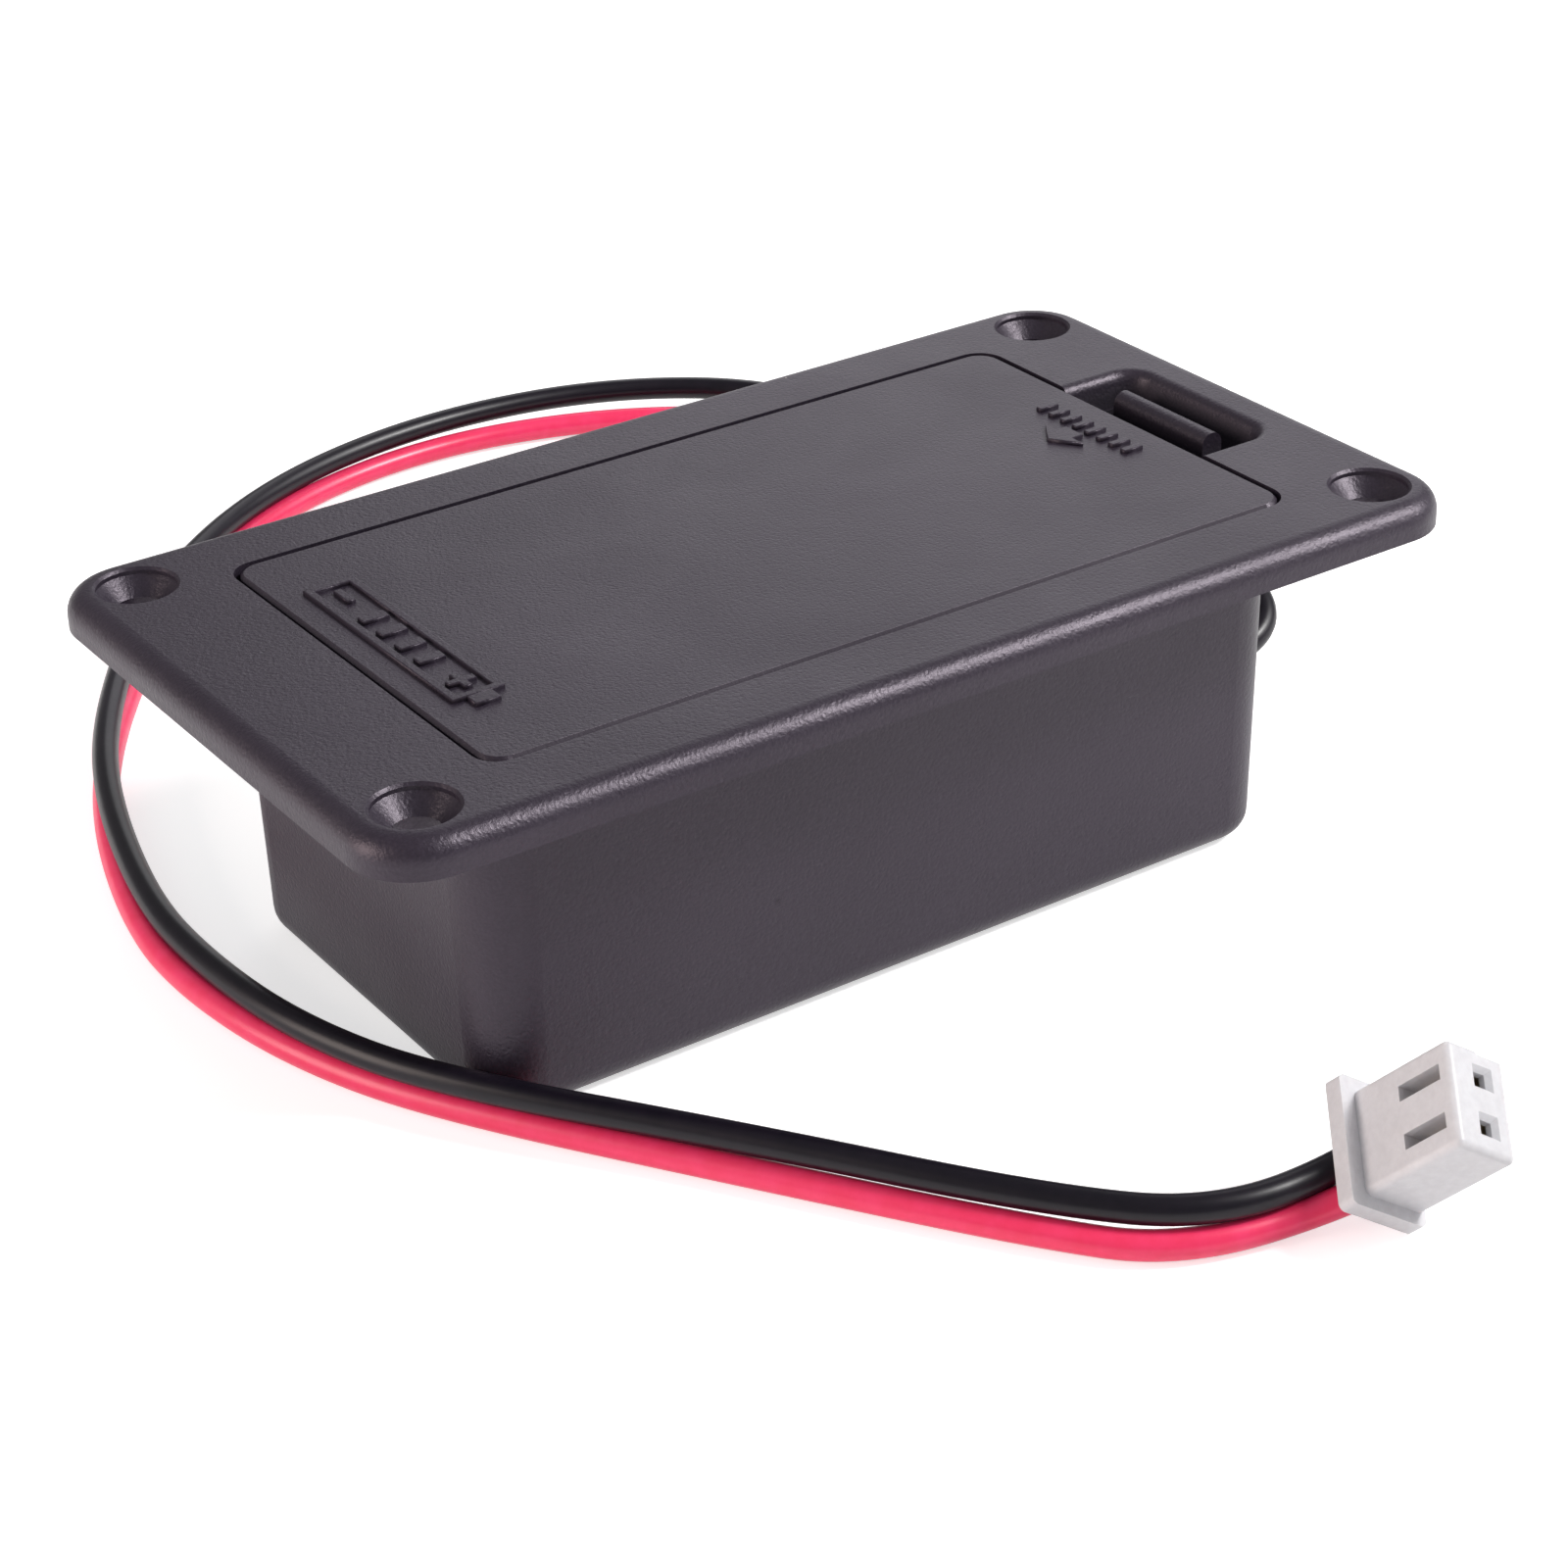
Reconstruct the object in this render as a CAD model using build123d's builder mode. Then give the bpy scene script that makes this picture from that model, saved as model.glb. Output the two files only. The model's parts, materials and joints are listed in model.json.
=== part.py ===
# Flush-mounting holder for one nine volt block battery, in millimetres.
# +Z is up, +X runs to the latch end, and the origin is under the middle of the flange, on the tub's floor.
import math
import os
from build123d import *

os.makedirs("parts", exist_ok=True)

# battery that the holder is made for
battery_length = 48.5
battery_width = 26.5
battery_thickness = 17.5
battery_play = 0.4
terminal_spacing = 12.7

# tub under the flange, measured where it meets the flange: walls round the battery and the room left about it
tub_wall = 1.6
tub_floor = 1.6
tub_draft = 1.1
tub_corner = 4.5
tub_bottom_edge = 2.0
side_space = 2.95
end_space = 12.9
head_space = 6.8

# flange, by how far it stands out from the tub on each side
hinge_margin = 9.9
latch_margin = 10.9
side_margin = 6.8
flange_thickness = 2.7
flange_corner = 5.0
flange_edge = 1.7
hole_inset = 5.0
screw_hole_r = 1.65
screw_head_r = 2.9
screw_head_depth = 0.5
screw_head_angle = 90.0
screw_rim = 0.2

# ribs that the battery lies on, is guided by and stops on
rest_rib_height = 0.6
rest_rib_width = 1.2
rest_rib_y = 8.0
rib_root = 0.5
guide_rib_width = 1.4
guide_rib_height = 15.0
guide_rib_pitch = 18.0
guide_rib_count = 3
stop_wall = 1.4
stop_height = 12.0

# lid
lid_thickness = 1.5
lid_setback = 0.4
lid_corner = 1.9
lid_edge = 0.25
side_gap = 0.3
hinge_gap = 0.4
hinge_end_corner = 2.0
seat_gap = 0.3
hold_rib_width = 1.2
hold_rib_length = 40.0
hold_gap = 0.5
cross_rib_depth = 1.0
cross_rib_count = 3

# hinge
hinge_inset = 1.7
hinge_drop = 0.85
pin_r = 0.5
pin_length = 2.0
pin_gap = 0.05
pin_end_gap = 0.3
barrel_r = 0.8
swing_relief_length = 3.4
swing_relief_depth = 0.6
swing_pocket_depth = 1.0
swing_pocket_wall = 0.6

# latch: a bent spring tongue under the lid's free end, with a thumb bar and a catch
tongue_width = 7.6
tongue_thickness = 1.1
tongue_bend_r = 2.2
tongue_drop = 7.5
bar_length = 10.6
bar_width = 1.9
bar_height = 2.2
bar_sink = 0.2
bar_overlap = 0.4
catch_depth = 1.6
catch_height = 2.5
catch_land = 0.5
catch_gap = 0.4
catch_play = 0.15

# recess in the flange over the latch, and the pocket below it
recess_half_width = 8.0
recess_corner = 2.0
recess_slope_out = 1.2
recess_slope_side = 0.3
recess_edge = 0.9
pocket_half_width = 7.5
pocket_undercut = 0.5
pocket_wall = 1.0
pocket_drop = 8.3
pocket_corner = 2.0

# contacts, rivets and solder lugs on the end wall
pad_size = 7.2
pad_thickness = 2.5
pad_corner = 1.0
pad_rise = 0.8
strip_thickness = 0.4
strip_width = 6.0
strip_half_height = 3.0
strip_bend_r = 1.1
strip_top_r = 1.04
strip_fold_r = 0.93
strip_reach = 3.4
strip_bulge_r = 3.0
eyelet_r = 0.9
eyelet_wall = 0.3
eyelet_head_r = 1.9
eyelet_head = 0.35
eyelet_gap = 0.02
lug_thickness = 0.5
lug_width = 4.2
lug_tail_width = 2.8
lug_tail_length = 4.6
lug_drop = 2.8
lug_bend_r = 0.7
core_r = 0.5
core_length = 3.6
core_lift = 0.05
core_overhang = 0.75
solder_inset = 1.4
solder_length = 2.6
solder_width = 2.0
solder_height = 1.3
solder_corner = 0.6
solder_slope = 16.0

# plug, with its rear face lowest corner on the table
plug_x = 6.55
plug_y = -58.6
plug_z = 3.5
plug_heading = -66.0
plug_pitch = 45.0
plug_roll = 41.0
pitch = 3.4
plug_row = 7.5
plug_thickness = 5.0
plug_body = 8.3
plug_edge = 0.5
collar_row = 9.3
collar_thickness = 6.4
collar_length = 1.3
collar_offset = 0.5
key_width = 2.4
key_depth = 0.45
cavity_shift = -0.4
cavity_r = 1.2
insulation_depth = 3.2
socket_size = 1.0
socket_mouth = 0.35
window_length = 3.6
window_width = 1.1
window_setback = 0.9
crimp_length = 1.8
crimp_gap = 0.1
receptacle = 1.7
receptacle_wall = 0.2
receptacle_length = 3.7

# wires, by the points where their straight runs meet
wire_r = 1.05
corner_share = 0.45
wire_lead = {"black": 7.45, "red": 5.2}
black_points = [
    (43.8, -6.35, 8.9),
    (47.4, -4.4, 8.4),
    (49.7, -1.0, 7.7),
    (50.6, 9.6, 5.9),
    (52.8, 27.0, 2.8),
    (55.5, 50.0, 1.3),
    (52.5, 74.0, 1.07),
    (37.0, 84.8, 1.07),
    (18.0, 88.4, 1.07),
    (-2.0, 83.8, 1.07),
    (-20.0, 67.0, 1.07),
    (-32.4, 51.0, 4.0),
    (-36.0, 38.0, 4.0),
    (-41.8, 14.0, 1.07),
    (-42.0, -5.4, 1.07),
    (-37.2, -20.6, 1.07),
    (-22.5, -36.5, 1.07),
    (-10.5, -46.0, 1.07),
    (-1.3, -50.2, 1.07),
]
red_points = [
    (43.8, 6.4, 8.9),
    (47.4, 8.5, 8.6),
    (49.3, 12.0, 8.0),
    (49.6, 24.0, 5.0),
    (52.4, 44.0, 1.8),
    (49.9, 72.4, 1.07),
    (35.8, 82.0, 1.07),
    (18.1, 85.3, 1.07),
    (-0.5, 81.1, 1.07),
    (-18.0, 65.2, 1.07),
    (-30.6, 50.1, 1.07),
    (-38.2, 38.6, 1.07),
    (-44.2, 14.3, 1.07),
    (-44.4, -5.8, 1.07),
    (-39.3, -21.8, 1.07),
    (-24.2, -38.2, 1.07),
    (-11.8, -48.1, 1.07),
    (-2.6, -53.9, 1.07),
]

# outer sizes and levels worked out from the battery
tub_length = 2 * tub_wall + end_space + battery_length + battery_play + strip_reach + pad_rise
tub_width = battery_width + 2 * (battery_play + side_space + tub_wall)
tub_shift = (hinge_margin - latch_margin) / 2
tub_left = tub_shift - tub_length / 2
tub_right = tub_shift + tub_length / 2
flange_length = tub_length + hinge_margin + latch_margin
flange_width = tub_width + 2 * side_margin
hole_spacing_x = flange_length - 2 * hole_inset
hole_spacing_y = flange_width - 2 * hole_inset
top = tub_floor + rest_rib_height + battery_thickness + head_space + lid_thickness
under = top - flange_thickness
seat = top - lid_thickness - seat_gap

# lid, opening and hinge
lid_width = tub_width
lid_hinge_edge = tub_left + tub_wall
lid_latch_edge = tub_right - lid_setback
lid_length = lid_latch_edge - lid_hinge_edge
lid_shift = (lid_latch_edge + lid_hinge_edge) / 2
opening_left = lid_hinge_edge - hinge_gap
opening_right = lid_latch_edge + side_gap
opening_length = opening_right - opening_left
opening_shift = (opening_right + opening_left) / 2
opening_width = lid_width + 2 * side_gap
hinge_x = lid_hinge_edge + hinge_inset
hinge_z = top - hinge_drop
pin_span = opening_width + 2 * (pin_length + pin_end_gap - side_gap)

# latch positions, from the lid's free edge outwards
tongue_inner_x = lid_latch_edge - tongue_thickness / 2
tongue_outer_x = tongue_inner_x + 2 * tongue_bend_r
tongue_bend_z = top - tongue_drop
bar_top = top - bar_sink
catch_x = tongue_outer_x + tongue_thickness / 2 + catch_depth
catch_top = under - catch_gap
recess_bottom_x = catch_x + catch_play
recess_top_x = recess_bottom_x + recess_slope_out
pocket_inner_x = recess_bottom_x + pocket_undercut
pocket_floor = under - pocket_drop

# battery and contact positions
contact_z = tub_floor + rest_rib_height + battery_thickness / 2
pad_inner_x = tub_right - tub_wall - pad_rise
pad_outer_x = pad_inner_x + pad_thickness
bay_half_width = battery_width / 2 + battery_play
strip_face_x = pad_inner_x - strip_reach
stop_x = strip_face_x - battery_length - battery_play
hold_rib_x = (stop_x + strip_face_x) / 2
hold_rib_depth = seat + seat_gap - (tub_floor + rest_rib_height + battery_thickness + hold_gap)
barrel_length = tub_width - 2 * tub_wall - 2 * side_gap


# Housing: flange, tub and latch pocket, then everything cut out of them, then the ribs of the bay.
with BuildPart() as housing:
    with BuildSketch(Plane.XY.offset(under)):
        RectangleRounded(flange_length, flange_width, flange_corner)
    extrude(amount=flange_thickness)
    fillet(housing.faces().sort_by(Axis.Z)[-1].outer_wire().edges(), flange_edge)
    with BuildSketch(Plane.XY.offset(under)):
        with Locations((tub_shift, 0)):
            RectangleRounded(tub_length, tub_width, tub_corner)
    extrude(amount=-under, taper=tub_draft)
    fillet(housing.faces().sort_by(Axis.Z)[0].outer_wire().edges(), tub_bottom_edge)
    with BuildSketch(Plane.XY.offset(under)) as pocket_outline:
        with Locations(((pocket_inner_x + pocket_wall) / 2, 0)):
            RectangleRounded(
                pocket_inner_x + pocket_wall, 2 * (pocket_half_width + pocket_wall), pocket_corner
            )
    extrude(amount=-(pocket_drop + pocket_wall))
    # inside of the tub
    with BuildSketch(Plane.XY.offset(under)):
        with Locations((tub_shift, 0)):
            RectangleRounded(tub_length - 2 * tub_wall, tub_width - 2 * tub_wall, tub_corner - tub_wall)
    extrude(amount=tub_floor - under, taper=tub_draft, mode=Mode.SUBTRACT)
    with BuildSketch(Plane.XY.offset(seat)):
        with Locations((tub_shift, 0)):
            RectangleRounded(tub_length - 2 * tub_wall, tub_width - 2 * tub_wall, tub_corner - tub_wall)
    extrude(amount=under - seat, mode=Mode.SUBTRACT)
    # pocket for the latch
    with BuildSketch(Plane.XY.offset(under)):
        with Locations((pocket_inner_x / 2, 0)):
            RectangleRounded(pocket_inner_x, 2 * pocket_half_width, pocket_corner - pocket_wall)
    extrude(amount=-pocket_drop, mode=Mode.SUBTRACT)
    # seat of the lid
    with BuildSketch(Plane.XY.offset(seat)) as opening:
        with Locations((opening_shift, 0)):
            Rectangle(opening_length, opening_width)
        fillet(opening.vertices().sort_by(Axis.X)[-2:], lid_corner + side_gap)
        fillet(opening.vertices().sort_by(Axis.X)[:2], hinge_end_corner)
    extrude(amount=top - seat, mode=Mode.SUBTRACT)
    # relief below the seat, which the lid's hinge edge swings through: shallow over the side walls, then deeper
    for relief_width, relief_depth in (
        (opening_width, swing_relief_depth),
        (tub_width - 2 * swing_pocket_wall, swing_pocket_depth),
    ):
        with BuildSketch(Plane.XY.offset(seat)) as relief:
            with Locations((opening_left + swing_relief_length / 2, 0)):
                Rectangle(swing_relief_length, relief_width)
            fillet(relief.vertices().sort_by(Axis.X)[:2], hinge_end_corner)
        extrude(amount=-relief_depth, mode=Mode.SUBTRACT)
    # recess with its sloping outer wall
    with BuildSketch(Plane.XY.offset(top)):
        with Locations((recess_top_x / 2, 0)):
            RectangleRounded(recess_top_x, 2 * recess_half_width, recess_corner)
    with BuildSketch(Plane.XY.offset(under)):
        with Locations((recess_bottom_x / 2, 0)):
            RectangleRounded(
                recess_bottom_x, 2 * (recess_half_width - recess_slope_side), recess_corner - recess_slope_side
            )
    loft(mode=Mode.SUBTRACT)
    recess_rim = (
        housing.edges()
        .filter_by_position(Axis.Z, top, top)
        .filter_by_position(Axis.X, opening_right - side_gap, recess_top_x + side_gap)
        .filter_by_position(Axis.Y, -recess_half_width, recess_half_width)
        .filter_by(lambda edge: edge.center().X > opening_right + side_gap)
    )
    fillet(recess_rim, recess_edge)
    # screw holes
    with Locations(Plane.XY.offset(top - screw_head_depth)):
        with GridLocations(hole_spacing_x, hole_spacing_y, 2, 2):
            CounterSinkHole(screw_hole_r, screw_head_r, counter_sink_angle=screw_head_angle)
    with Locations(Plane.XY.offset(top)):
        with GridLocations(hole_spacing_x, hole_spacing_y, 2, 2):
            Hole(screw_head_r, depth=screw_head_depth)
    head_rims = housing.edges().filter_by(GeomType.CIRCLE).filter_by_position(Axis.Z, top, top)
    chamfer(head_rims.filter_by(lambda edge: abs(edge.radius - screw_head_r) < screw_rim), screw_rim)
    # hinge bores
    with BuildSketch(Plane.XZ.offset(-pin_span / 2)):
        with Locations((hinge_x, hinge_z)):
            Circle(pin_r + pin_gap)
    extrude(amount=pin_span, mode=Mode.SUBTRACT)
    # seats for the contacts, through both faces of the end wall
    with BuildSketch(Plane.YZ.offset(pad_inner_x)):
        with Locations((0, contact_z)):
            RectangleRounded(terminal_spacing + pad_size, pad_size, pad_corner)
    extrude(amount=pad_thickness)
    with BuildSketch(Plane.YZ.offset(pad_inner_x)):
        with Locations((0, contact_z)):
            with GridLocations(terminal_spacing, 1, 2, 1):
                Circle(eyelet_r + eyelet_gap)
    extrude(amount=pad_thickness, mode=Mode.SUBTRACT)
    # ribs that the battery lies on
    with BuildSketch(Plane.XY.offset(tub_floor - rib_root)):
        with Locations(((stop_x + pad_inner_x) / 2, 0)):
            with GridLocations(1, 2 * rest_rib_y, 1, 2):
                Rectangle(pad_inner_x - stop_x, rest_rib_width)
    extrude(amount=rib_root + rest_rib_height)
    # ribs on the side walls that guide it, and the cross wall that it stops on
    guide_depth = tub_width / 2 - tub_wall - bay_half_width
    with BuildSketch(Plane.XY.offset(tub_floor - rib_root)):
        with Locations(((stop_x + strip_face_x) / 2, 0)):
            with GridLocations(guide_rib_pitch, 2 * bay_half_width + guide_depth, guide_rib_count, 2):
                Rectangle(guide_rib_width, guide_depth)
    extrude(amount=rib_root + guide_rib_height)
    with BuildSketch(Plane.XY.offset(tub_floor - rib_root)):
        with Locations((stop_x - stop_wall / 2, 0)):
            Rectangle(stop_wall, 2 * bay_half_width + 2 * guide_depth)
    extrude(amount=rib_root + stop_height)
housing.part.label = "housing"
export_step(housing.part, "parts/housing.step")

# Lid: plate, ribs, hinge barrel and pins, and the latch tongue with its bar and catch.
with BuildPart() as lid:
    with BuildSketch(Plane.XY.offset(top - lid_thickness)):
        with Locations((lid_shift, 0)):
            RectangleRounded(lid_length, lid_width, lid_corner)
    extrude(amount=lid_thickness)
    chamfer(lid.faces().sort_by(Axis.Z)[-1].outer_wire().edges(), lid_edge)
    # hinge barrel under the plate, and the pins that stand out of its sides
    with BuildSketch(Plane.XZ.offset(-barrel_length / 2)):
        with Locations((hinge_x, hinge_z)):
            Circle(barrel_r)
    extrude(amount=barrel_length)
    with BuildSketch(Plane.XZ.offset(-(lid_width / 2 + pin_length))):
        with Locations((hinge_x, hinge_z)):
            Circle(pin_r)
    extrude(amount=lid_width + 2 * pin_length)
    # ribs that hold the battery down
    with BuildSketch(Plane.XY.offset(top - lid_thickness)):
        with Locations((hold_rib_x, 0)):
            with GridLocations(1, 2 * rest_rib_y, 1, 2):
                Rectangle(hold_rib_length, hold_rib_width)
    extrude(amount=-hold_rib_depth)
    with BuildSketch(Plane.XY.offset(top - lid_thickness)):
        with Locations((hold_rib_x, 0)):
            with GridLocations(hold_rib_length / (cross_rib_count - 1), 1, cross_rib_count, 1):
                Rectangle(hold_rib_width, 2 * rest_rib_y)
    extrude(amount=-cross_rib_depth)
    # tongue: down from the free edge, round a bend and up again
    with BuildSketch(Plane.XZ) as tongue:
        with BuildLine() as tongue_line:
            Line((tongue_inner_x, top - lid_thickness), (tongue_inner_x, tongue_bend_z))
            CenterArc((tongue_inner_x + tongue_bend_r, tongue_bend_z), tongue_bend_r, 180, 180)
            Line((tongue_outer_x, tongue_bend_z), (tongue_outer_x, bar_top - bar_height))
        trace(line_width=tongue_thickness)
    extrude(amount=tongue_width / 2, both=True)
    # thumb bar with its rounded top
    with BuildSketch(Plane.XZ):
        with BuildLine():
            bar_foot = bar_top - bar_height - bar_overlap
            bar_round = bar_top - bar_width / 2
            Polyline(
                (tongue_outer_x - bar_width / 2, bar_round),
                (tongue_outer_x - bar_width / 2, bar_foot),
                (tongue_outer_x + bar_width / 2, bar_foot),
                (tongue_outer_x + bar_width / 2, bar_round),
            )
            ThreePointArc(
                (tongue_outer_x + bar_width / 2, bar_round),
                (tongue_outer_x, bar_top),
                (tongue_outer_x - bar_width / 2, bar_round),
            )
        make_face()
    extrude(amount=bar_length / 2, both=True)
    # catch, a wedge on the tongue's outer face
    with BuildSketch(Plane.XZ):
        with BuildLine():
            catch_root = tongue_outer_x + tongue_thickness / 2
            Polyline(
                (tongue_outer_x, catch_top),
                (catch_x, catch_top),
                (catch_x, catch_top - catch_land),
                (catch_root, catch_top - catch_height),
                (tongue_outer_x, catch_top - catch_height),
                close=True,
            )
        make_face()
    extrude(amount=tongue_width / 2, both=True)
lid.part.label = "lid"
export_step(lid.part, "parts/lid.step")

# Contacts, rivets, solder lugs, conductor ends and solder joints, one set for each terminal.
wire_starts = {}
for pole, side_y in (("positive", terminal_spacing / 2), ("negative", -terminal_spacing / 2)):
    with BuildPart() as contact:
        with BuildSketch(Plane.XZ.offset(-side_y)):
            with BuildLine():
                back_x = pad_inner_x - strip_thickness / 2
                front_x = back_x - 2 * strip_bend_r
                FilletPolyline(
                    (back_x, contact_z - strip_half_height),
                    (back_x, contact_z + strip_half_height + strip_bend_r),
                    (front_x, contact_z + strip_half_height + strip_bend_r),
                    (strip_face_x + strip_thickness / 2, contact_z),
                    (front_x, contact_z - strip_half_height),
                    radius=[strip_top_r, strip_fold_r, strip_bulge_r],
                )
            trace(line_width=strip_thickness)
        extrude(amount=strip_width / 2, both=True)
        with BuildSketch(Plane.YZ.offset(back_x - strip_thickness)):
            with Locations((side_y, contact_z)):
                Circle(eyelet_r + eyelet_gap)
        extrude(amount=2 * strip_thickness, mode=Mode.SUBTRACT)
    contact.part.label = f"contact_{pole}"
    export_step(contact.part, f"parts/contact_{pole}.step")

    with BuildPart() as rivet:
        shank_start = pad_inner_x - strip_thickness
        shank_end = pad_outer_x + lug_thickness
        with BuildSketch(Plane.YZ.offset(shank_start - eyelet_head)):
            with Locations((side_y, contact_z)):
                Circle(eyelet_r)
        extrude(amount=shank_end - shank_start + 2 * eyelet_head)
        for head_x in (shank_start - eyelet_head, shank_end):
            with BuildSketch(Plane.YZ.offset(head_x)):
                with Locations((side_y, contact_z)):
                    Circle(eyelet_head_r)
            extrude(amount=eyelet_head)
        with BuildSketch(Plane.YZ.offset(shank_start - eyelet_head)):
            with Locations((side_y, contact_z)):
                Circle(eyelet_r - eyelet_wall)
        extrude(amount=shank_end - shank_start + 2 * eyelet_head, mode=Mode.SUBTRACT)
    rivet.part.label = f"rivet_{pole}"
    export_step(rivet.part, f"parts/rivet_{pole}.step")

    with BuildPart() as lug:
        lug_x = pad_outer_x + lug_thickness / 2
        tail_z = contact_z - lug_drop
        with BuildSketch(Plane.YZ.offset(pad_outer_x)):
            with Locations((side_y, contact_z)):
                Circle(lug_width / 2)
        extrude(amount=lug_thickness)
        with BuildSketch(Plane.XZ.offset(-side_y)):
            with BuildLine():
                FilletPolyline(
                    (lug_x, contact_z), (lug_x, tail_z), (lug_x + lug_tail_length, tail_z), radius=lug_bend_r
                )
            trace(line_width=lug_thickness)
        extrude(amount=lug_tail_width / 2, both=True)
        with BuildSketch(Plane.YZ.offset(pad_outer_x)):
            with Locations((side_y, contact_z)):
                Circle(eyelet_r + eyelet_gap)
        extrude(amount=lug_thickness, mode=Mode.SUBTRACT)
    lug.part.label = f"solder_lug_{pole}"
    export_step(lug.part, f"parts/solder_lug_{pole}.step")

    core_z = tail_z + lug_thickness / 2 + core_lift + core_r
    core_end = lug_x + lug_tail_length + core_overhang
    wire_starts[side_y] = Vector(core_end, side_y, core_z)
    with BuildPart() as core:
        with BuildSketch(Plane.YZ.offset(core_end - core_length)):
            with Locations((side_y, core_z)):
                Circle(core_r)
        extrude(amount=core_length)
    core.part.label = f"conductor_end_{pole}"
    export_step(core.part, f"parts/conductor_end_{pole}.step")

    with BuildPart() as solder:
        with BuildSketch(Plane.XY.offset(tail_z + lug_thickness / 2)):
            with Locations((core_end - core_length + solder_inset, side_y)):
                RectangleRounded(solder_length, solder_width, solder_corner)
        extrude(amount=solder_height, taper=solder_slope)
        with BuildSketch(Plane.YZ.offset(core_end - core_length)):
            with Locations((side_y, core_z)):
                Circle(core_r)
        extrude(amount=core_length, mode=Mode.SUBTRACT)
    solder.part.label = f"solder_joint_{pole}"
    export_step(solder.part, f"parts/solder_joint_{pole}.step")

# Plug, in a plane whose x runs along the row of contacts, y to its window side and z the way it mates.
level = Vector(0, 1, 0).rotate(Axis.Z, plug_heading)
mating = Vector(1, 0, 0).rotate(Axis.Z, plug_heading).rotate(Axis((0, 0, 0), level), -plug_pitch)
row = level.rotate(Axis((0, 0, 0), mating), plug_roll)
plug_plane = Plane(origin=(plug_x, plug_y, plug_z), x_dir=row, z_dir=mating)
plug_length = collar_length + plug_body

with BuildPart() as plug:
    with BuildSketch(plug_plane):
        with Locations((0, collar_offset)):
            RectangleRounded(collar_row, collar_thickness, plug_edge)
    extrude(amount=collar_length)
    with BuildSketch(plug_plane):
        RectangleRounded(plug_row, plug_thickness, plug_edge)
    extrude(amount=plug_length)
    front = plug.faces().sort_by(Axis(plug_plane.origin, mating))[-1]
    fillet(front.outer_wire().edges(), plug_edge)
    # polarising step along one narrow side
    with BuildSketch(plug_plane.offset(collar_length)):
        with Locations((plug_row / 2, -plug_thickness / 2)):
            Rectangle(2 * key_depth, 2 * key_width)
    extrude(amount=plug_body, mode=Mode.SUBTRACT)
    # cavities: round for the wires, square for the contacts, with a mouth for each pin
    with BuildSketch(plug_plane):
        with Locations((0, cavity_shift)):
            with GridLocations(pitch, 1, 2, 1):
                Circle(cavity_r)
    extrude(amount=insulation_depth + crimp_length, mode=Mode.SUBTRACT)
    with BuildSketch(plug_plane.offset(insulation_depth + crimp_length)):
        with Locations((0, cavity_shift)):
            with GridLocations(pitch, 1, 2, 1):
                Rectangle(receptacle + 2 * crimp_gap, receptacle + 2 * crimp_gap)
    extrude(amount=receptacle_length + crimp_gap, mode=Mode.SUBTRACT)
    with BuildSketch(plug_plane.offset(plug_length)):
        with Locations((0, cavity_shift)):
            with GridLocations(pitch, 1, 2, 1):
                Rectangle(socket_size + 2 * socket_mouth, socket_size + 2 * socket_mouth)
    extrude(amount=-socket_mouth, taper=45, mode=Mode.SUBTRACT)
    with BuildSketch(plug_plane.offset(plug_length)):
        with Locations((0, cavity_shift)):
            with GridLocations(pitch, 1, 2, 1):
                Rectangle(socket_size, socket_size)
    extrude(amount=-window_setback, mode=Mode.SUBTRACT)
    # windows over the contacts
    with BuildSketch(plug_plane.offset(plug_length - window_setback - window_length)):
        with Locations((0, cavity_shift + plug_thickness / 2)):
            with GridLocations(pitch, 1, 2, 1):
                Rectangle(window_width, plug_thickness)
    extrude(amount=window_length, mode=Mode.SUBTRACT)
plug.part.label = "plug_housing"
export_step(plug.part, "parts/plug_housing.step")

# Crimp contacts in the plug and the wires that run to them.
routes = {"black": black_points, "red": red_points}
for colour, side in (("black", 1), ("red", -1)):
    seat_plane = plug_plane.offset(insulation_depth)
    crimp_spot = (side * pitch / 2, cavity_shift)
    with BuildPart() as crimp:
        with BuildSketch(seat_plane):
            with Locations(crimp_spot):
                Circle(cavity_r - crimp_gap)
                Circle(core_r, mode=Mode.SUBTRACT)
        extrude(amount=crimp_length)
        with BuildSketch(seat_plane.offset(crimp_length)):
            with Locations(crimp_spot):
                Rectangle(receptacle, receptacle)
                Rectangle(receptacle - 2 * receptacle_wall, receptacle - 2 * receptacle_wall, mode=Mode.SUBTRACT)
        extrude(amount=receptacle_length)
    crimp.part.label = f"crimp_contact_{colour}"
    export_step(crimp.part, f"parts/crimp_contact_{colour}.step")

    corners = [wire_starts[-side * terminal_spacing / 2]] + [Vector(*point) for point in routes[colour]]
    corners.append(seat_plane.from_local_coords(Vector(*crimp_spot, -wire_lead[colour])))
    corners.append(seat_plane.from_local_coords(Vector(*crimp_spot, 0)))
    radii = []
    for before, corner, after in zip(corners, corners[1:], corners[2:]):
        turn = (corner - before).get_angle(after - corner)
        run = min((corner - before).length, (after - corner).length)
        radii.append(corner_share * run / math.tan(math.radians(turn / 2)))
    with BuildPart() as wire:
        with BuildLine() as path:
            FilletPolyline(*corners, radius=radii)
        run_line = path.wires()[0]
        with BuildSketch(Plane(origin=run_line @ 0, z_dir=run_line % 0)):
            Circle(wire_r)
        sweep(path=run_line)
    print(colour, "wire: length", round(run_line.length, 1), "least radius", round(min(radii), 1))
    print("  radii", [round(r, 1) for r in radii])
    print("  volume", round(wire.part.volume, 1), "of", round(run_line.length * math.pi * wire_r**2, 1))
    wire.part.label = f"{colour}_wire"
    export_step(wire.part, f"parts/{colour}_wire.step")
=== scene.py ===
import json
import math

import bmesh
import bpy
from mathutils import Matrix, Vector, noise


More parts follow.
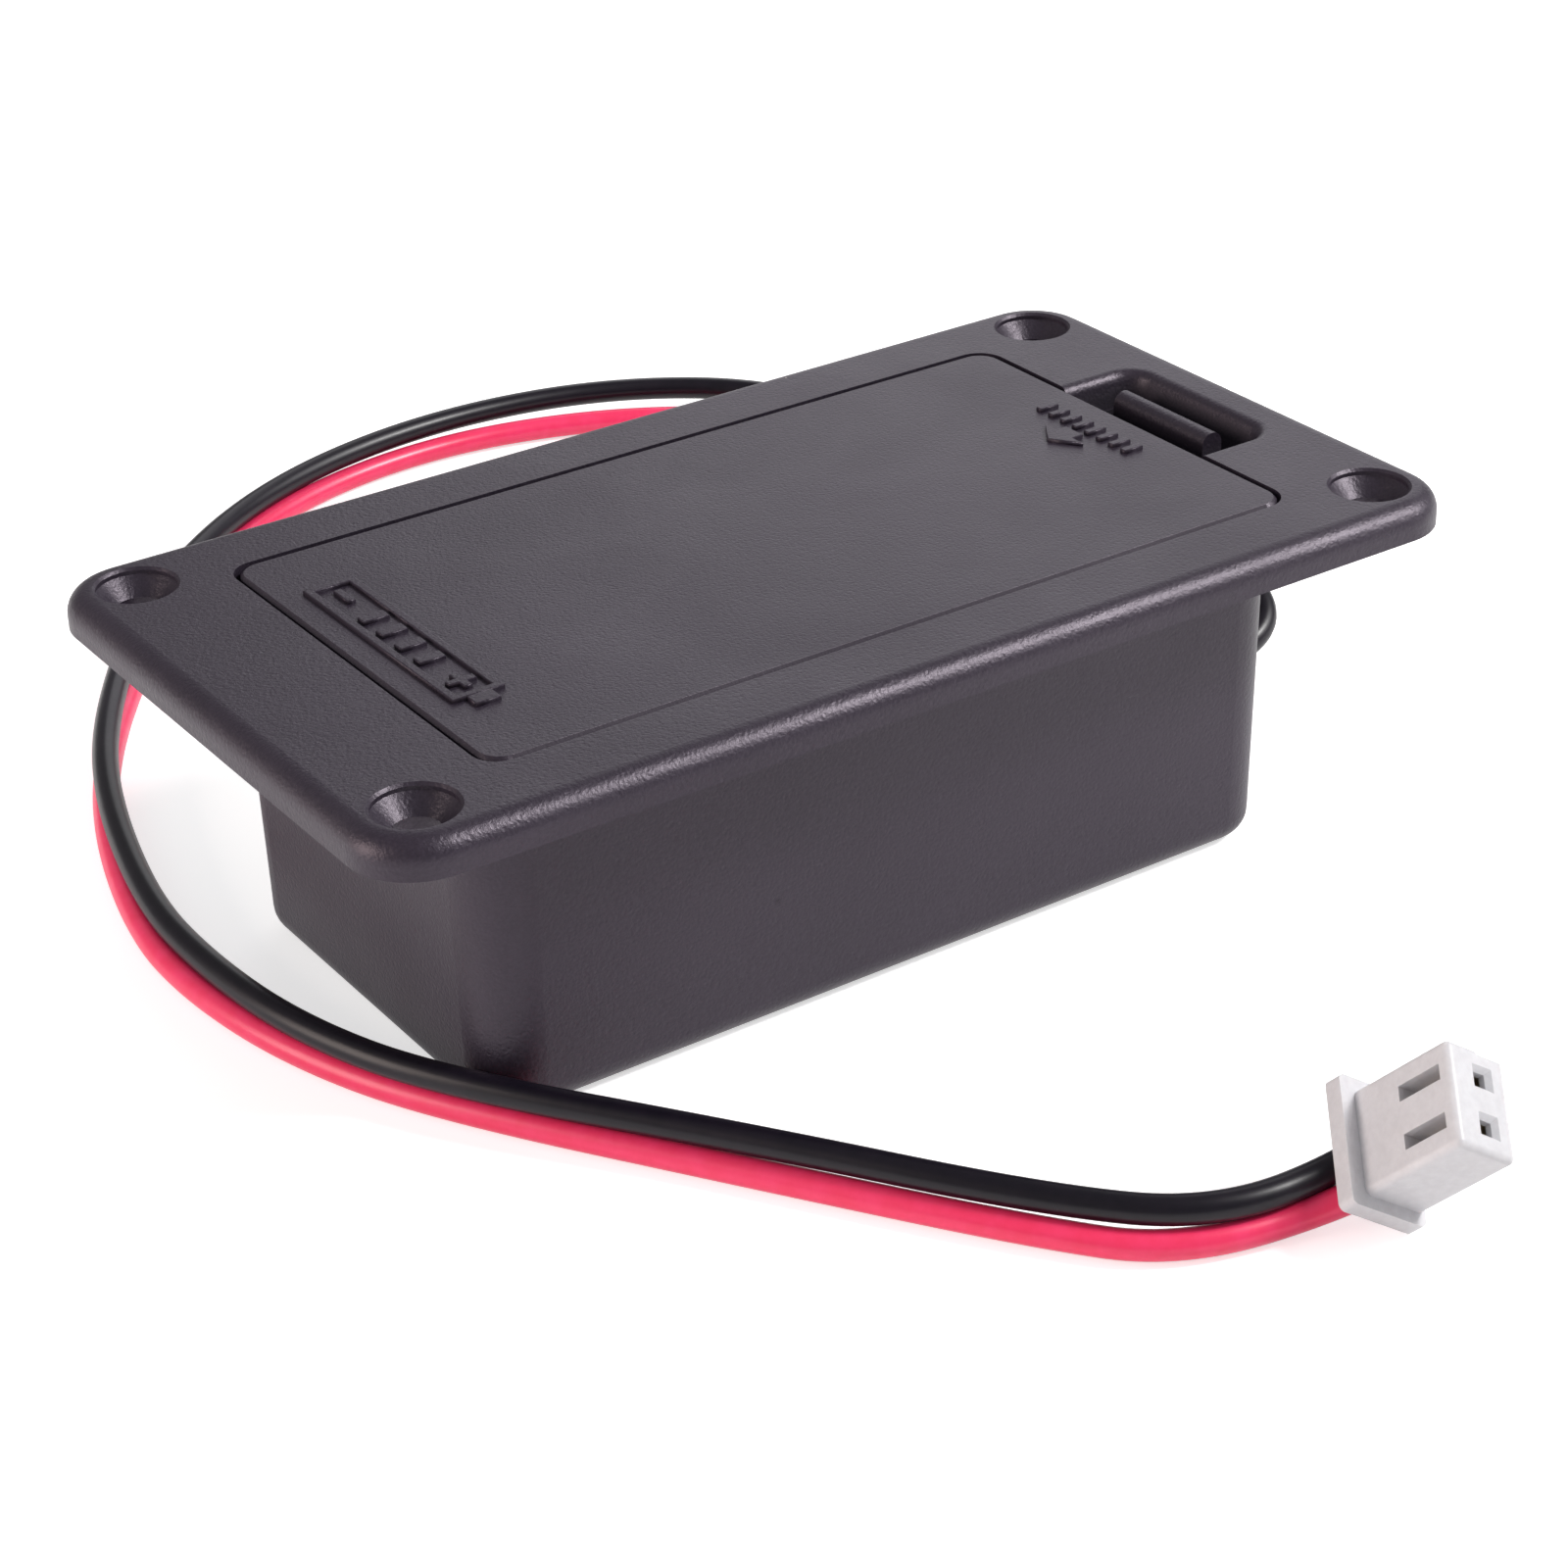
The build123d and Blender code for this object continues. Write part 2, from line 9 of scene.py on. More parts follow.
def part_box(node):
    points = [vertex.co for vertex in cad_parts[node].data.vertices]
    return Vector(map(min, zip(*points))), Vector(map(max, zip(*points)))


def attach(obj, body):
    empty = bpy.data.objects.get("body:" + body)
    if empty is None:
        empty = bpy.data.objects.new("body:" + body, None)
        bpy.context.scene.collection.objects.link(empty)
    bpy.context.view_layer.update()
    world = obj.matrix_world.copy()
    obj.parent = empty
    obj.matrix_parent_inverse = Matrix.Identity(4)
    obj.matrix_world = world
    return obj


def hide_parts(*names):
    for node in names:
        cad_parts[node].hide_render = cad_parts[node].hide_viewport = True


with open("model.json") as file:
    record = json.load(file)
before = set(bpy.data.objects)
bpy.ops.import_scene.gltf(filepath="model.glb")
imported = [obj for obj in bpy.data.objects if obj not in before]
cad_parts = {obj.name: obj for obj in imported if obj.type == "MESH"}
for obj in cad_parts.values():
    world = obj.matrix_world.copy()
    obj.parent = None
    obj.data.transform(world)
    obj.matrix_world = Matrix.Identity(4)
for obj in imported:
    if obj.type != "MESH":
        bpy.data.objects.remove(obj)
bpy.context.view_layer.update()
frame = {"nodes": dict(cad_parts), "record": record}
scene = bpy.context.scene
scene.view_settings.view_transform = "Standard"
mm = 0.001


def inMetres(points):
    return [Vector(point) * mm for point in points]


# camera where the photograph was taken from, places in millimetres and turns in radians
view = {
    "place": (-128.6, -194.0, 135.0),
    "heading": -0.5892,
    "tilt": 1.0695,
    "roll": -0.0282,
    "lens": 81.62,
    "sensor": 36.0,
    "nearest": 0.01,
    "farthest": 20.0,
}


def addCamera():
    data = bpy.data.cameras.new("camera")
    data.lens = view["lens"]
    data.sensor_width = view["sensor"]
    data.clip_start = view["nearest"]
    data.clip_end = view["farthest"]
    camera = bpy.data.objects.new("camera", data)
    turn = (
        Matrix.Rotation(view["heading"], 4, "Z")
        @ Matrix.Rotation(view["tilt"], 4, "X")
        @ Matrix.Rotation(view["roll"], 4, "Z")
    )
    camera.matrix_world = Matrix.Translation(Vector(view["place"]) * mm) @ turn
    scene.collection.objects.link(camera)
    scene.camera = camera


addCamera()
print("camera placed")


# the two wires, in millimetres, by the points that steer their curves from the solder lug to the crimp in
# the plug; the black one lies on the red one for most of the way
wires = {
    "diameter": 2.1,
    "stepsAlong": 16,
    "stepsRound": 7,
    "black": {
        "length": 325.7,
        "points": [
            (39.8, -6.35, 8.95),
            (45.0, -6.35, 10.0),
            (45.3, 3.4, 13.2),
            (46.1, 11.0, 11.2),
            (49.0, 22.0, 7.4),
            (52.8, 36.0, 3.8),
            (54.6, 54.0, 1.8),
            (52.0, 73.4, 2.1),
            (37.2, 83.8, 2.7),
            (17.8, 86.5, 2.9),
            (-2.0, 81.2, 2.9),
            (-19.8, 66.8, 2.95),
            (-31.0, 50.6, 3.25),
            (-37.6, 37.4, 3.15),
            (-42.3, 20.0, 3.0),
            (-42.8, 9.0, 3.0),
            (-41.5, -2.8, 3.15),
            (-37.3, -14.3, 3.35),
            (-23.9, -32.4, 3.1),
            (-12.8, -48.8, 3.0),
            (-5.4, -56.9, 3.2),
            (5.6, -57.6, 3.05),
            (8.65, -59.51, 6.34),
        ],
    },
    "red": {
        "length": 307.1,
        "points": [
            (39.8, 6.35, 8.95),
            (45.0, 6.4, 9.1),
            (46.6, 15.6, 7.4),
            (48.4, 29.0, 3.6),
            (51.6, 45.0, 1.4),
            (49.6, 69.2, 1.07),
            (35.8, 80.4, 1.07),
            (17.6, 85.0, 1.07),
            (-1.8, 80.4, 1.07),
            (-19.2, 65.8, 1.07),
            (-30.8, 50.4, 1.07),
            (-38.2, 37.0, 1.07),
            (-43.3, 20.0, 1.07),
            (-43.8, 9.0, 1.07),
            (-41.8, -2.6, 1.07),
            (-37.2, -13.7, 1.07),
            (-24.5, -33.0, 1.07),
            (-13.9, -48.9, 1.07),
            (-7.7, -56.4, 1.07),
            (4.2, -58.6, 1.07),
            (6.95, -62.0, 4.76),
        ],
    },
}


def addWire(colour):
    values = wires[colour]
    curve = bpy.data.curves.new(f"{colour}Wire", "CURVE")
    curve.dimensions = "3D"
    spline = curve.splines.new("NURBS")
    points = inMetres(values["points"])
    spline.points.add(len(points) - 1)
    for target, point in zip(spline.points, points):
        target.co = (*point, 1.0)
        target.radius = wires["diameter"] / 2 * mm
    spline.order_u = 3
    spline.use_endpoint_u = True
    spline.resolution_u = wires["stepsAlong"]
    curve.bevel_depth = 1.0  # the points' own radius gives the thickness
    curve.bevel_resolution = wires["stepsRound"]
    curve.use_fill_caps = True
    wire = bpy.data.objects.new(f"{colour}Wire", curve)
    scene.collection.objects.link(wire)
    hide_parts(f"{colour}_wire")
    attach(wire, "housing")
    return wire


blackWire = addWire("black")
redWire = addWire("red")
print("wires laid")


# node helpers: a value goes into a socket as a constant, a socket as a link
def addNode(tree, kind, inputs=None, **settings):
    node = tree.nodes.new(kind)
    for key, value in settings.items():
        setattr(node, key, value)
    for key, value in (inputs or {}).items():
        if isinstance(value, bpy.types.NodeSocket):
            tree.links.new(value, node.inputs[key])
        else:
            node.inputs[key].default_value = value
    return node


def newGroup(name, inputs, outputs):
    tree = bpy.data.node_groups.new(name, "ShaderNodeTree")
    for label, value in inputs.items():
        socket = tree.interface.new_socket(label, in_out="INPUT", socket_type="NodeSocketFloat")
        socket.default_value = value
    for label in outputs:
        tree.interface.new_socket(label, in_out="OUTPUT", socket_type="NodeSocketFloat")
    return tree, tree.nodes.new("NodeGroupInput"), tree.nodes.new("NodeGroupOutput")


def remap(tree, value, fromLow, fromHigh, toLow=0.0, toHigh=1.0):
    inputs = {"Value": value, "From Min": fromLow, "From Max": fromHigh, "To Min": toLow, "To Max": toHigh}
    return addNode(tree, "ShaderNodeMapRange", inputs).outputs["Result"]


def combine(tree, operation, first, second):
    return addNode(tree, "ShaderNodeMath", {0: first, 1: second}, operation=operation).outputs[0]


def objectPlace(tree):
    return addNode(tree, "ShaderNodeTexCoord").outputs["Object"]


def noiseOf(tree, place, scale, **values):
    named = {key.capitalize(): value for key, value in values.items()}
    return addNode(tree, "ShaderNodeTexNoise", {"Vector": place, "Scale": scale} | named)


# where most values of a noise lie
noiseSpread = (0.3, 0.7)

# eroded texture of a mould: fine bumps with small pits, a slow drift in tone and a speckle over it
mould = {
    "detail": 3.0,
    "roughness": 0.6,
    "pitScale": 0.55,
    "pitReach": 0.5,
    "driftScale": 45.0,
    "driftDetail": 4.0,
    "driftRoughness": 0.55,
    "driftShare": 0.45,
    "speckleSpread": (0.34, 0.66),
    "speckleShare": 0.55,
}


def makeMouldGrain():
    tree, given, out = newGroup("mouldGrain", {"Scale": 2600.0, "Pits": 0.4}, ["Height", "Tone"])
    place = objectPlace(tree)
    scale = given.outputs["Scale"]
    fine = noiseOf(tree, place, scale, detail=mould["detail"], roughness=mould["roughness"])
    pitScale = combine(tree, "MULTIPLY", scale, mould["pitScale"])
    pits = addNode(tree, "ShaderNodeTexVoronoi", {"Vector": place, "Scale": pitScale})
    pitDepth = remap(tree, pits.outputs["Distance"], 0.0, mould["pitReach"], -1.0, 0.0)
    pitHeight = combine(tree, "MULTIPLY", pitDepth, given.outputs["Pits"])
    height = combine(tree, "ADD", fine.outputs["Fac"], pitHeight)
    drift = noiseOf(
        tree, place, mould["driftScale"], detail=mould["driftDetail"], roughness=mould["driftRoughness"]
    )
    slow = remap(tree, drift.outputs["Fac"], *noiseSpread, 0.0, mould["driftShare"])
    speckle = remap(tree, fine.outputs["Fac"], *mould["speckleSpread"], 0.0, mould["speckleShare"])
    tree.links.new(height, out.inputs["Height"])
    tree.links.new(combine(tree, "ADD", slow, speckle), out.inputs["Tone"])
    return tree


# specks of dust, one in a few cells, with ragged edges
specks = {"ragScale": 5200.0, "ragDetail": 2.0, "ragDepth": 0.00012, "smallest": 0.4}


def makeDustSpecks():
    tree, given, out = newGroup("dustSpecks", {"Scale": 150.0, "Share": 0.2, "Size": 0.03}, ["Mask"])
    place = objectPlace(tree)
    ragged = noiseOf(tree, place, specks["ragScale"], detail=specks["ragDetail"])
    sway = {0: ragged.outputs["Color"], "Scale": specks["ragDepth"]}
    shift = addNode(tree, "ShaderNodeVectorMath", sway, operation="SCALE")
    moved = addNode(tree, "ShaderNodeVectorMath", {0: place, 1: shift.outputs["Vector"]}, operation="ADD")
    cells = addNode(
        tree, "ShaderNodeTexVoronoi", {"Vector": moved.outputs["Vector"], "Scale": given.outputs["Scale"]}
    )
    apart = addNode(tree, "ShaderNodeSeparateColor", {"Color": cells.outputs["Color"]})
    chosen = combine(tree, "LESS_THAN", apart.outputs["Red"], given.outputs["Share"])
    share = remap(tree, apart.outputs["Green"], 0.0, 1.0, specks["smallest"], 1.0)
    size = combine(tree, "MULTIPLY", given.outputs["Size"], share)
    near = combine(tree, "LESS_THAN", cells.outputs["Distance"], size)
    tree.links.new(combine(tree, "MULTIPLY", chosen, near), out.inputs["Mask"])
    return tree


# cloudy patches where a surface was handled, for the gloss
clouds = {"detail": 6.0, "roughness": 0.6, "distortion": 0.4, "middle": 0.5}


def makeHandling():
    tree, given, out = newGroup("handling", {"Scale": 60.0, "Contrast": 0.5}, ["Mask"])
    place = objectPlace(tree)
    cloud = noiseOf(
        tree,
        place,
        given.outputs["Scale"],
        detail=clouds["detail"],
        roughness=clouds["roughness"],
        distortion=clouds["distortion"],
    )
    spread = combine(tree, "SUBTRACT", cloud.outputs["Fac"], clouds["middle"])
    shown = combine(tree, "MULTIPLY_ADD", spread, given.outputs["Contrast"])
    shown.node.inputs[2].default_value = clouds["middle"]
    tree.links.new(shown, out.inputs["Mask"])
    return tree


# short hairline scuffs, thin where the stretched noise is at its peak and only in a few patches
hairlines = {
    "turn": (0.4, 0.3, 0.7),
    "stretch": (1.0, 14.0, 14.0),
    "detail": 5.0,
    "roughness": 0.7,
    "patchScale": 40.0,
    "patchDetail": 1.0,
    "patchEdge": (0.5, 0.62),
}


def makeScuffs():
    tree, given, out = newGroup("scuffs", {"Scale": 70.0, "Limit": 0.7}, ["Mask"])
    place = objectPlace(tree)
    turn = {"Vector": place, "Rotation": hairlines["turn"], "Scale": hairlines["stretch"]}
    turned = addNode(tree, "ShaderNodeMapping", turn)
    lines = noiseOf(
        tree,
        turned.outputs["Vector"],
        given.outputs["Scale"],
        detail=hairlines["detail"],
        roughness=hairlines["roughness"],
    )
    patches = noiseOf(tree, place, hairlines["patchScale"], detail=hairlines["patchDetail"])
    line = combine(tree, "GREATER_THAN", lines.outputs["Fac"], given.outputs["Limit"])
    patch = remap(tree, patches.outputs["Fac"], *hairlines["patchEdge"])
    tree.links.new(combine(tree, "MULTIPLY", line, patch), out.inputs["Mask"])
    return tree


# painted shade where light hardly comes, in metres: the latch pocket, and the slope into the seam round the
# lid
hollows = {
    "pocketStart": (0.0335, 0.0345),
    "pocketEnd": (0.0412, 0.0408),
    "pocketSide": (0.0084, 0.0080),
    "pocketTop": (0.0275, 0.0262),
    "pocketFloor": (0.0166, 0.0170),
    "seamSide": (0.0150, 0.0184),
    "seamEnd": 0.0318,
    "seamTop": (0.027997, 0.02798),
    "seamFloor": 0.0268,
}


def allOf(tree, masks):
    total = masks[0]
    for mask in masks[1:]:
        total = combine(tree, "MULTIPLY", total, mask)
    return total


def makePaintedHollowShade():
    tree, given, out = newGroup("paintedHollowShade", {"Depth": 0.9}, ["Mask"])
    apart = addNode(tree, "ShaderNodeSeparateXYZ", {"Vector": objectPlace(tree)})
    x, z = apart.outputs["X"], apart.outputs["Z"]
    fromMiddle = combine(tree, "ABSOLUTE", x, 0.0)
    aside = combine(tree, "ABSOLUTE", apart.outputs["Y"], 0.0)
    inPocket = [
        remap(tree, x, *hollows["pocketStart"]),
        remap(tree, x, *hollows["pocketEnd"]),
        remap(tree, aside, *hollows["pocketSide"]),
        remap(tree, z, *hollows["pocketTop"]),
        remap(tree, z, *hollows["pocketFloor"]),
    ]
    inSeam = [
        combine(tree, "LESS_THAN", aside, hollows["seamSide"][1]),
        remap(tree, z, *hollows["seamTop"]),
        combine(tree, "GREATER_THAN", aside, hollows["seamSide"][0]),
        combine(tree, "GREATER_THAN", z, hollows["seamFloor"]),
        combine(tree, "LESS_THAN", fromMiddle, hollows["seamEnd"]),
    ]
    either = combine(tree, "MAXIMUM", allOf(tree, inPocket), allOf(tree, inSeam))
    tree.links.new(combine(tree, "MULTIPLY", either, given.outputs["Depth"]), out.inputs["Mask"])
    return tree


# grain of drawn or rolled metal along one axis
rolled = {"detail": 3.0, "toneScale": 500.0, "toneDetail": 4.0}


def makeRolledGrain():
    tree, given, out = newGroup("rolledGrain", {"Scale": 900.0, "Stretch": 18.0}, ["Height", "Tone"])
    place = objectPlace(tree)
    apart = addNode(tree, "ShaderNodeSeparateXYZ", {"Vector": place})
    across = combine(tree, "MULTIPLY", apart.outputs["Y"], given.outputs["Stretch"])
    joined = addNode(
        tree, "ShaderNodeCombineXYZ", {"X": apart.outputs["X"], "Y": across, "Z": apart.outputs["Z"]}
    )
    lines = noiseOf(tree, joined.outputs["Vector"], given.outputs["Scale"], detail=rolled["detail"])
    tone = noiseOf(tree, place, rolled["toneScale"], detail=rolled["toneDetail"])
    tree.links.new(lines.outputs["Fac"], out.inputs["Height"])
    tree.links.new(remap(tree, tone.outputs["Fac"], *noiseSpread), out.inputs["Tone"])
    return tree


mouldGrain = makeMouldGrain()
dustSpecks = makeDustSpecks()
handling = makeHandling()
scuffs = makeScuffs()
rolledGrain = makeRolledGrain()
paintedHollowShade = makePaintedHollowShade()
print("effects built")


def newMaterial(name):
    material = bpy.data.materials.new(name)
    material.use_nodes = True
    return material, material.node_tree, material.node_tree.nodes["Principled BSDF"]


def placeGroup(tree, group, **values):
    node = addNode(tree, "ShaderNodeGroup", node_tree=group)
    for key, value in values.items():
        node.inputs[key].default_value = value
    return node


def mixColour(tree, amount, first, second):
    node = addNode(tree, "ShaderNodeMix", data_type="RGBA")
    for index, value in ((0, amount), (6, first), (7, second)):
        if isinstance(value, bpy.types.NodeSocket):
            tree.links.new(value, node.inputs[index])
        else:
            node.inputs[index].default_value = value if index == 0 else (*value, 1.0)
    return node.outputs[2]


def connectBump(tree, shader, height, strength, distance):
    bump = addNode(tree, "ShaderNodeBump", {"Height": height, "Strength": strength, "Distance": distance})
    tree.links.new(bump.outputs["Normal"], shader.inputs["Normal"])


# matt black moulded plastic of the housing and the lid
blackPlastic = {
    "dark": (0.016, 0.012, 0.020),
    "light": (0.032, 0.025, 0.038),
    "dust": (0.42, 0.38, 0.34),
    "worn": (0.10, 0.095, 0.10),
    "mirror": (0.94, 0.84, 0.96),
    # near-black of the painted shade in the hollows, also used for the dark spots
    "shade": (0.003, 0.002, 0.006),
    "roughness": (0.34, 0.46),
    "scuffRoughness": 0.1,
    "shadeRoughness": 0.5,
    "grainStrength": 0.9,
    "grainDepth": 0.00004,
    "dustScale": 170.0,
    "dustSize": 0.016,
    "dustCover": 0.7,
    "touchScale": 70.0,
    "touchContrast": 1.4,
    "scuffScale": 70.0,
    "scuffLimit": 0.71,
    "scuffCover": 0.6,
    "pieces": {
        "housing": {"grainScale": 4300.0, "pits": 0.4, "dustShare": 0.16, "shadeDepth": 0.97},
        "lid": {"grainScale": 4600.0, "pits": 0.35, "dustShare": 0.10, "shadeDepth": 0.6},
    },
}

# small dark spots on the housing, each a ragged spot of its own size round a point, in metres
darkSpots = {
    "ragScale": 3800.0,
    "ragDetail": 2.0,
    "ragDepth": 0.00018,
    "core": 0.5,
    "spots": [
        (-0.0117, -0.0176, 0.0099, 0.00045),
        (-0.0383, -0.0176, 0.0210, 0.00028),
        (-0.0345, -0.0177, 0.0210, 0.00024),
        (-0.0346, 0.0147, 0.0049, 0.00040),
    ],
}


def darkSpotMask(tree):
    place = objectPlace(tree)
    ragged = noiseOf(tree, place, darkSpots["ragScale"], detail=darkSpots["ragDetail"])
    sway = remap(tree, ragged.outputs["Fac"], *noiseSpread, -darkSpots["ragDepth"], darkSpots["ragDepth"])
    total = None
    for x, y, z, size in darkSpots["spots"]:
        far = addNode(tree, "ShaderNodeVectorMath", {0: place, 1: (x, y, z)}, operation="DISTANCE")
        swayed = combine(tree, "ADD", far.outputs["Value"], sway)
        spot = remap(tree, swayed, size, size * darkSpots["core"])
        total = spot if total is None else combine(tree, "MAXIMUM", total, spot)
    return total


def makeBlackPlastic(piece):
    values = blackPlastic | blackPlastic["pieces"][piece]
    material, tree, shader = newMaterial(f"{piece}Plastic")
    grain = placeGroup(tree, mouldGrain, Scale=values["grainScale"], Pits=values["pits"])
    dust = placeGroup(
        tree, dustSpecks, Scale=values["dustScale"], Share=values["dustShare"], Size=values["dustSize"]
    )
    touched = placeGroup(tree, handling, Scale=values["touchScale"], Contrast=values["touchContrast"])
    scuff = placeGroup(tree, scuffs, Scale=values["scuffScale"], Limit=values["scuffLimit"])
    shade = placeGroup(tree, paintedHollowShade, Depth=values["shadeDepth"])
    tone = mixColour(tree, grain.outputs["Tone"], values["dark"], values["light"])
    wornShare = combine(tree, "MULTIPLY", scuff.outputs["Mask"], values["scuffCover"])
    worn = mixColour(tree, wornShare, tone, values["worn"])
    dustShare = combine(tree, "MULTIPLY", dust.outputs["Mask"], values["dustCover"])
    dusty = mixColour(tree, dustShare, worn, values["dust"])
    # near-black spots at the points listed above
    spotted = mixColour(tree, darkSpotMask(tree), dusty, values["shade"])
    # painted shade: near-black colour in the latch pocket and the seam round the lid, which are also made
    # rougher
    shaded = mixColour(tree, shade.outputs["Mask"], spotted, values["shade"])
    tree.links.new(shaded, shader.inputs["Base Color"])
    gloss = remap(tree, touched.outputs["Mask"], 0.0, 1.0, *values["roughness"])
    fromScuffs = combine(tree, "MULTIPLY", scuff.outputs["Mask"], values["scuffRoughness"])
    fromShade = combine(tree, "MULTIPLY", shade.outputs["Mask"], values["shadeRoughness"])
    scuffed = combine(tree, "ADD", gloss, fromScuffs)
    tree.links.new(combine(tree, "ADD", scuffed, fromShade), shader.inputs["Roughness"])
    shader.inputs["Specular Tint"].default_value = (*values["mirror"], 1.0)
    connectBump(tree, shader, grain.outputs["Height"], values["grainStrength"], values["grainDepth"])
    return material


# glossy vinyl of the wires, with the faint waviness of drawn insulation
insulation = {
    "dust": (0.6, 0.55, 0.52),
    "dustScale": 260.0,
    "dustShare": 0.10,
    "dustSize": 0.03,
    "dustCover": 0.5,
    "touchScale": 110.0,
    "touchContrast": 1.6,
    "waveScale": 700.0,
    "waveStrength": 0.2,
    "waveDepth": 0.00004,
    "colours": {
        "black": {
            "deep": (0.004, 0.003, 0.007),
            "pale": (0.009, 0.006, 0.012),
            "roughness": (0.30, 0.38),
            "mirror": 0.34,
        },
        "red": {
            "deep": (0.88, 0.030, 0.110),
            "pale": (0.96, 0.050, 0.170),
            "roughness": (0.26, 0.38),
            "mirror": 0.5,
        },
    },
}


def makeInsulation(colour):
    values = insulation | insulation["colours"][colour]
    material, tree, shader = newMaterial(f"{colour}Insulation")
    grain = placeGroup(tree, mouldGrain, Scale=values["waveScale"], Pits=0.0)
    dust = placeGroup(
        tree, dustSpecks, Scale=values["dustScale"], Share=values["dustShare"], Size=values["dustSize"]
    )
    touched = placeGroup(tree, handling, Scale=values["touchScale"], Contrast=values["touchContrast"])
    base = mixColour(tree, grain.outputs["Tone"], values["deep"], values["pale"])
    dustShare = combine(tree, "MULTIPLY", dust.outputs["Mask"], values["dustCover"])
    tree.links.new(mixColour(tree, dustShare, base, values["dust"]), shader.inputs["Base Color"])
    gloss = remap(tree, touched.outputs["Mask"], 0.0, 1.0, *values["roughness"])
    tree.links.new(gloss, shader.inputs["Roughness"])
    shader.inputs["Specular IOR Level"].default_value = values["mirror"]
    connectBump(tree, shader, grain.outputs["Height"], values["waveStrength"], values["waveDepth"])
    return material


# natural nylon of the plug: off-white, a little see-through at its thin edges
nylon = {
    "shade": (0.605, 0.595, 0.625),
    "light": (0.70, 0.695, 0.725),
    "dust": (0.45, 0.40, 0.36),
    "dustScale": 420.0,
    "dustShare": 0.10,
    "dustSize": 0.02,
    "dustCover": 0.35,
    "touchScale": 260.0,
    "touchContrast": 1.3,
    "roughness": (0.36, 0.50),
    "seeThrough": 0.25,
    "seeThroughReach": (1.0, 0.9, 0.85),
    "seeThroughDepth": 0.0008,
    "grainScale": 1500.0,
    "pits": 0.15,
    "grainStrength": 0.25,
    "grainDepth": 0.00002,
}


def makeNylon():
    material, tree, shader = newMaterial("plugNylon")
    grain = placeGroup(tree, mouldGrain, Scale=nylon["grainScale"], Pits=nylon["pits"])
    dust = placeGroup(
        tree, dustSpecks, Scale=nylon["dustScale"], Share=nylon["dustShare"], Size=nylon["dustSize"]
    )
    touched = placeGroup(tree, handling, Scale=nylon["touchScale"], Contrast=nylon["touchContrast"])
    base = mixColour(tree, grain.outputs["Tone"], nylon["shade"], nylon["light"])
    dustShare = combine(tree, "MULTIPLY", dust.outputs["Mask"], nylon["dustCover"])
    tree.links.new(mixColour(tree, dustShare, base, nylon["dust"]), shader.inputs["Base Color"])
    gloss = remap(tree, touched.outputs["Mask"], 0.0, 1.0, *nylon["roughness"])
    tree.links.new(gloss, shader.inputs["Roughness"])
    shader.inputs["Subsurface Weight"].default_value = nylon["seeThrough"]
    shader.inputs["Subsurface Radius"].default_value = nylon["seeThroughReach"]
    shader.inputs["Subsurface Scale"].default_value = nylon["seeThroughDepth"]
    connectBump(tree, shader, grain.outputs["Height"], nylon["grainStrength"], nylon["grainDepth"])
    return material


# plated and bare metals of the contacts, rivets, lugs, strands, solder and crimps
metals = {
    "grainScale": 900.0,
    "grainStrength": 0.35,
    "grainDepth": 0.00002,
    "touchScale": 420.0,
    "touchContrast": 1.6,
    "kinds": {
        "nickelStrip": {
            "deep": (0.50, 0.48, 0.44),
            "pale": (0.70, 0.68, 0.64),
            "roughness": (0.20, 0.34),
            "stretch": 18.0,
        },
        "rivetBrass": {
            "deep": (0.55, 0.46, 0.27),
            "pale": (0.74, 0.66, 0.44),
            "roughness": (0.22, 0.38),
            "stretch": 3.0,
        },
        "tinnedBrass": {
            "deep": (0.52, 0.50, 0.46),
            "pale": (0.74, 0.72, 0.68),
            "roughness": (0.26, 0.42),
            "stretch": 8.0,
        },
        "tinnedCopper": {
            "deep": (0.56, 0.44, 0.36),
            "pale": (0.78, 0.70, 0.62),
            "roughness": (0.26, 0.40),
            "stretch": 6.0,
        },
        "solderMetal": {
            "deep": (0.46, 0.46, 0.48),
            "pale": (0.74, 0.74, 0.75),
            "roughness": (0.16, 0.34),
            "stretch": 1.5,
        },
        "tinnedBronze": {
            "deep": (0.55, 0.46, 0.34),
            "pale": (0.76, 0.70, 0.60),
            "roughness": (0.24, 0.40),
            "stretch": 5.0,
        },
    },
}


def makeMetal(name):
    values = metals | metals["kinds"][name]
    material, tree, shader = newMaterial(name)
    grain = placeGroup(tree, rolledGrain, Scale=values["grainScale"], Stretch=values["stretch"])
    touched = placeGroup(tree, handling, Scale=values["touchScale"], Contrast=values["touchContrast"])
    tone = mixColour(tree, grain.outputs["Tone"], values["deep"], values["pale"])
    tree.links.new(tone, shader.inputs["Base Color"])
    gloss = remap(tree, touched.outputs["Mask"], 0.0, 1.0, *values["roughness"])
    tree.links.new(gloss, shader.inputs["Roughness"])
    shader.inputs["Metallic"].default_value = 1.0
    connectBump(tree, shader, grain.outputs["Height"], values["grainStrength"], values["grainDepth"])
    return material


finishes = {
    "housing_plastic": makeBlackPlastic("housing"),
    "lid_plastic": makeBlackPlastic("lid"),
    "contact_strip": makeMetal("nickelStrip"),
    "rivet_metal": makeMetal("rivetBrass"),
    "lug_metal": makeMetal("tinnedBrass"),
    "conductor": makeMetal("tinnedCopper"),
    "solder": makeMetal("solderMetal"),
    "black_insulation": makeInsulation("black"),
    "red_insulation": makeInsulation("red"),
    "plug_plastic": makeNylon(),
    "crimp_metal": makeMetal("tinnedBronze"),
}


def finishNodes():
    for part in frame["record"]["subparts"]:
        node = frame["nodes"][part["node"]]
        for slot in node.material_slots:
            slot.material = finishes[part["material_slot"]]
    blackWire.data.materials.append(finishes["black_insulation"])
    redWire.data.materials.append(finishes["red_insulation"])


finishNodes()
print("materials given")


